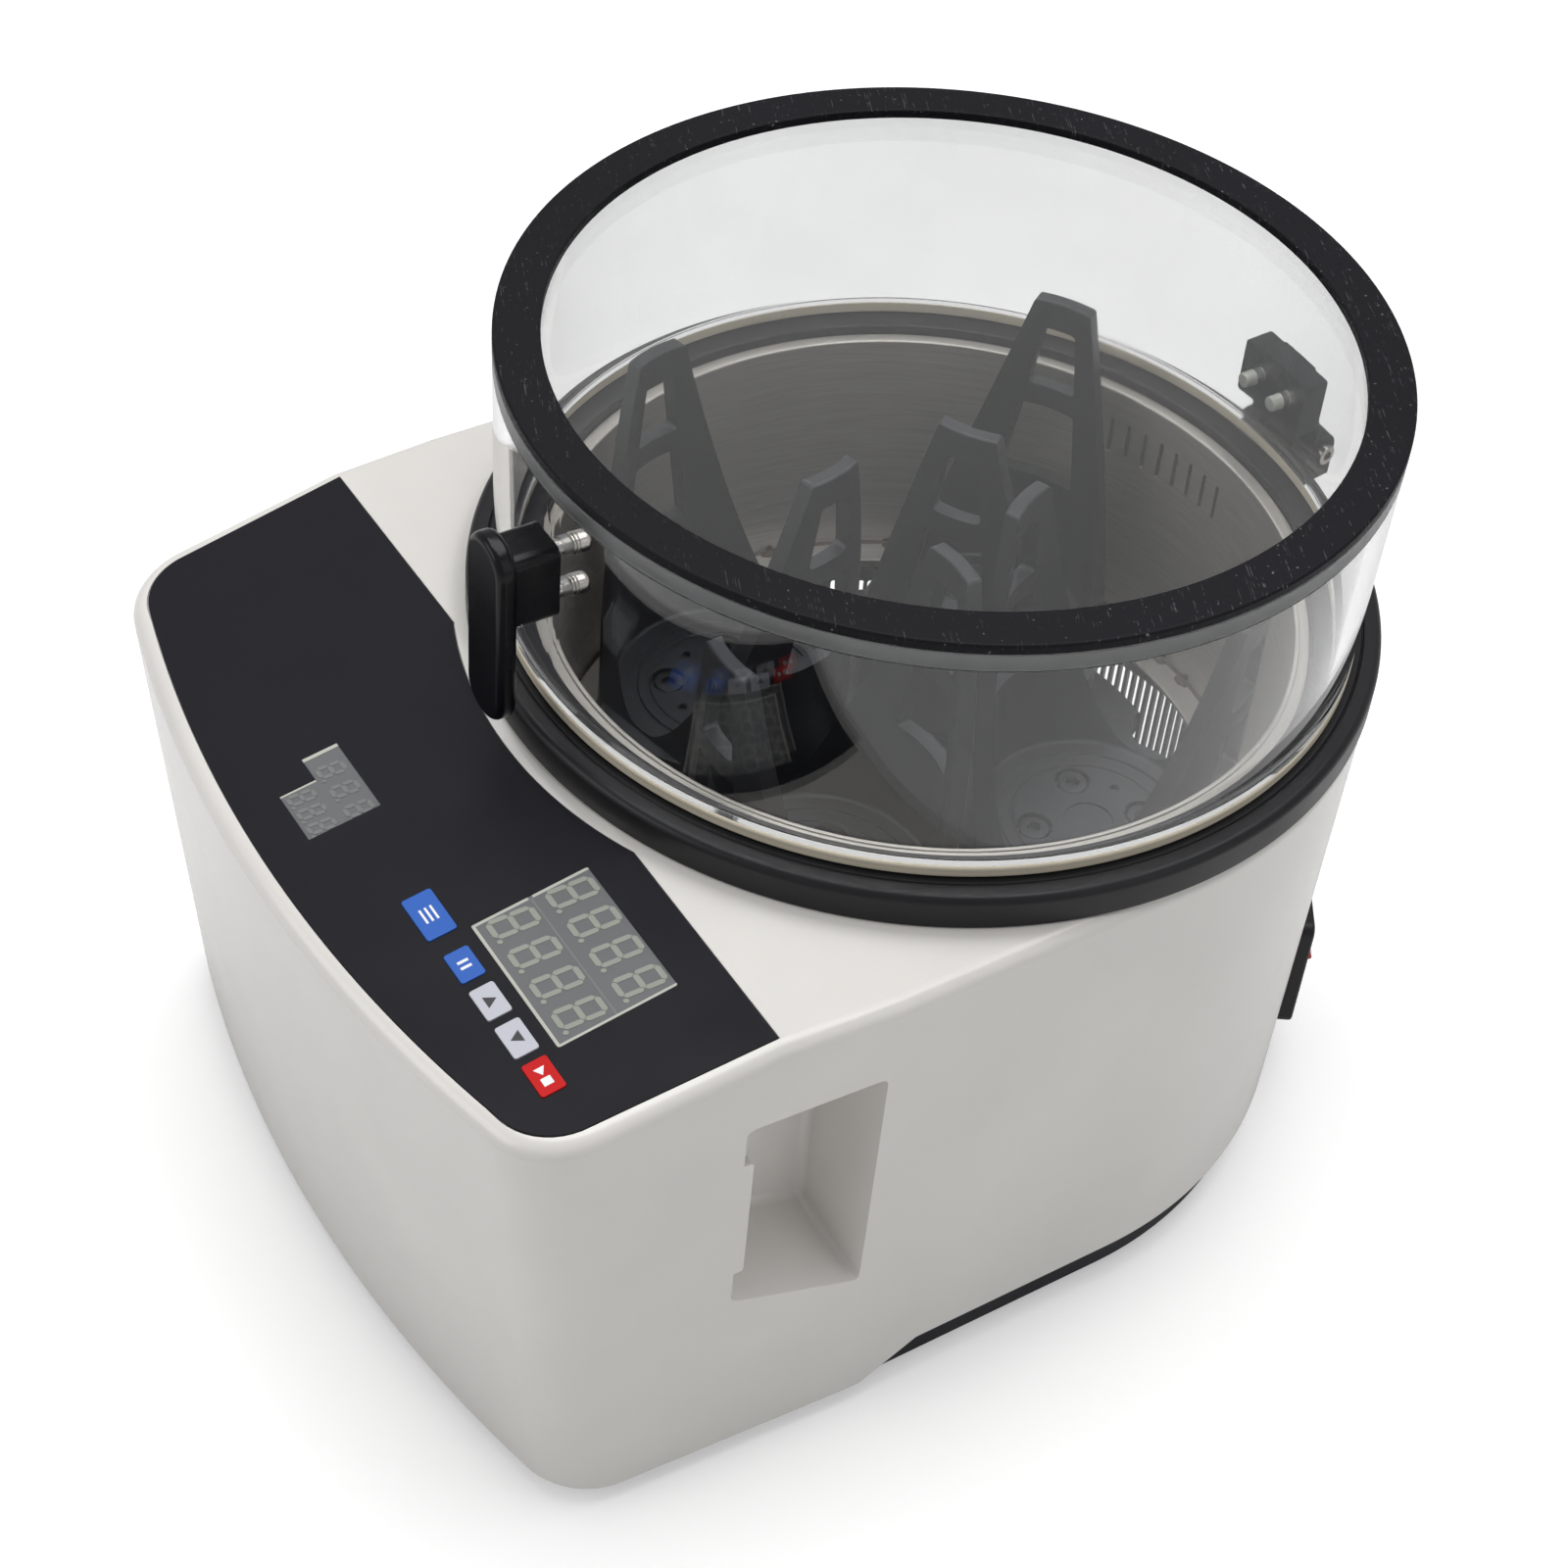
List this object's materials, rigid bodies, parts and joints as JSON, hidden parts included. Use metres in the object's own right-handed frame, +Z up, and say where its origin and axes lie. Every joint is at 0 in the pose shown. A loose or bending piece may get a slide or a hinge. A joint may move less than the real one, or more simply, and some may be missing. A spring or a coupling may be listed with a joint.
{
  "type": "planetary ball mill",
  "caption": "Tabletop planetary ball mill: moulded housing with a sloped control panel, steel chamber, hinged clear cover, and jar holders that spin on a belt-driven turntable.",
  "frame": {"origin": "on the table, under the middle of the overall box", "axes": "+Z up, +Y to the back, where the cover's hinge is, +X to the right as seen by the user at the panel"},
  "size_m": [0.2854, 0.3852, 0.29],
  "materials": {
    "white_plastic": "gloss white moulding",
    "black_plastic": "black, lightly brushed",
    "panel_film": "matt printed film",
    "smoked_window": "smoked clear window over pale segments",
    "blue_key": "blue film key",
    "white_key": "white film key",
    "red_key": "red",
    "circuit_board": "green circuit board",
    "rubber": "matt black",
    "seal_rubber": "cream sealing strip",
    "acrylic": "clear acrylic, polished",
    "stainless": "satin stainless sheet",
    "bright_steel": "bright plated",
    "steel": "machined",
    "dark_steel": "blackened machined steel",
    "cast_metal": "cast and machined"
  },
  "bodies": {
    "housing": {"shell": "white_plastic", "base_plate": "black_plastic", "foot_1": "rubber", "foot_2": "rubber", "foot_3": "rubber", "foot_4": "rubber", "rear_vent_grille": "black_plastic", "panel_overlay": "panel_film", "display_main": "smoked_window", "display_temp": "smoked_window", "control_board": "circuit_board", "body_ring": "black_plastic", "bowl": "stainless", "hinge_ring_leaf": "black_plastic", "hinge_pin": "bright_steel", "deck_plate": "steel", "bearing_housing": "cast_metal", "lower_bearing": "steel", "upper_bearing": "steel", "sun_gear": "dark_steel", "drive_belt": "rubber", "motor": "cast_metal", "speed_controller": "cast_metal", "mains_inlet": "black_plastic"},
    "cover": {"cover": "acrylic", "cover_top_ring": "black_plastic", "cover_seal": "seal_rubber", "cover_handle": "black_plastic", "handle_bolt_1": "bright_steel", "handle_bolt_2": "bright_steel", "hinge_cover_leaf": "black_plastic", "hinge_bolt_1": "bright_steel", "hinge_bolt_2": "bright_steel"},
    "turntable": {"turntable": "dark_steel", "main_shaft": "steel", "driven_pulley": "cast_metal", "planet_bearing_1": "steel", "planet_bearing_2": "steel", "planet_bearing_3": "steel", "planet_bearing_4": "steel"},
    "motor_rotor": {"motor_shaft": "steel", "motor_pulley": "cast_metal"},
    "planet_1": {"jar_holder_1": "dark_steel", "planet_shaft_1": "steel", "planet_gear_1": "dark_steel"},
    "planet_2": {"jar_holder_2": "dark_steel", "planet_shaft_2": "steel", "planet_gear_2": "dark_steel"},
    "planet_3": {"jar_holder_3": "dark_steel", "planet_shaft_3": "steel", "planet_gear_3": "dark_steel"},
    "planet_4": {"jar_holder_4": "dark_steel", "planet_shaft_4": "steel", "planet_gear_4": "dark_steel"},
    "rocker": {"rocker_switch": "red_key"},
    "menu_key": {"key_menu": "blue_key"},
    "pause_key": {"key_pause": "blue_key"},
    "up_key": {"key_up": "white_key"},
    "down_key": {"key_down": "white_key"},
    "run_stop_key": {"key_run_stop": "red_key"}
  },
  "joints": [
    {"name": "cover_hinge", "type": "hinge", "parent": "housing", "child": "cover", "pos_m": [0, 0.18655, 0.203], "axis": [-1, 0, 0], "range_deg": [0, 95]},
    {"name": "turntable_spin", "type": "hinge", "parent": "housing", "child": "turntable", "pos_m": [0, 0.03705, 0.097], "axis": [0, 0, 1], "continuous": true},
    {"name": "motor_spin", "type": "hinge", "parent": "housing", "child": "motor_rotor", "pos_m": [0, -0.12295, 0.034], "axis": [0, 0, 1], "continuous": true},
    {"name": "planet_1_spin", "type": "hinge", "parent": "turntable", "child": "planet_1", "pos_m": [0.05535, 0.073, 0.114], "axis": [0, 0, 1], "continuous": true},
    {"name": "planet_2_spin", "type": "hinge", "parent": "turntable", "child": "planet_2", "pos_m": [-0.03595, 0.0924, 0.114], "axis": [0, 0, 1], "continuous": true},
    {"name": "planet_3_spin", "type": "hinge", "parent": "turntable", "child": "planet_3", "pos_m": [-0.05535, 0.0011, 0.114], "axis": [0, 0, 1], "continuous": true},
    {"name": "planet_4_spin", "type": "hinge", "parent": "turntable", "child": "planet_4", "pos_m": [0.03595, -0.0183, 0.114], "axis": [0, 0, 1], "continuous": true},
    {"name": "rocker_tip", "type": "hinge", "parent": "housing", "child": "rocker", "pos_m": [0.08036, 0.15618, 0.054], "axis": [0.829, -0.5592, 0], "range_deg": [-16, 0]},
    {"name": "menu_press", "type": "slide", "parent": "housing", "child": "menu_key", "axis": [0, 0.1593, -0.9872], "range_m": [0, 0.0006], "stiffness_N_per_m": 400},
    {"name": "pause_press", "type": "slide", "parent": "housing", "child": "pause_key", "axis": [0, 0.1593, -0.9872], "range_m": [0, 0.0006], "stiffness_N_per_m": 400},
    {"name": "up_press", "type": "slide", "parent": "housing", "child": "up_key", "axis": [0, 0.1593, -0.9872], "range_m": [0, 0.0006], "stiffness_N_per_m": 400},
    {"name": "down_press", "type": "slide", "parent": "housing", "child": "down_key", "axis": [0, 0.1593, -0.9872], "range_m": [0, 0.0006], "stiffness_N_per_m": 400},
    {"name": "run_stop_press", "type": "slide", "parent": "housing", "child": "run_stop_key", "axis": [0, 0.1593, -0.9872], "range_m": [0, 0.0006], "stiffness_N_per_m": 400}
  ],
  "couplings": [
    {"joint": "motor_spin", "follows": "turntable_spin", "ratio": 2},
    {"joint": "planet_1_spin", "follows": "turntable_spin", "ratio": 2},
    {"joint": "planet_2_spin", "follows": "turntable_spin", "ratio": 2},
    {"joint": "planet_3_spin", "follows": "turntable_spin", "ratio": 2},
    {"joint": "planet_4_spin", "follows": "turntable_spin", "ratio": 2}
  ]
}
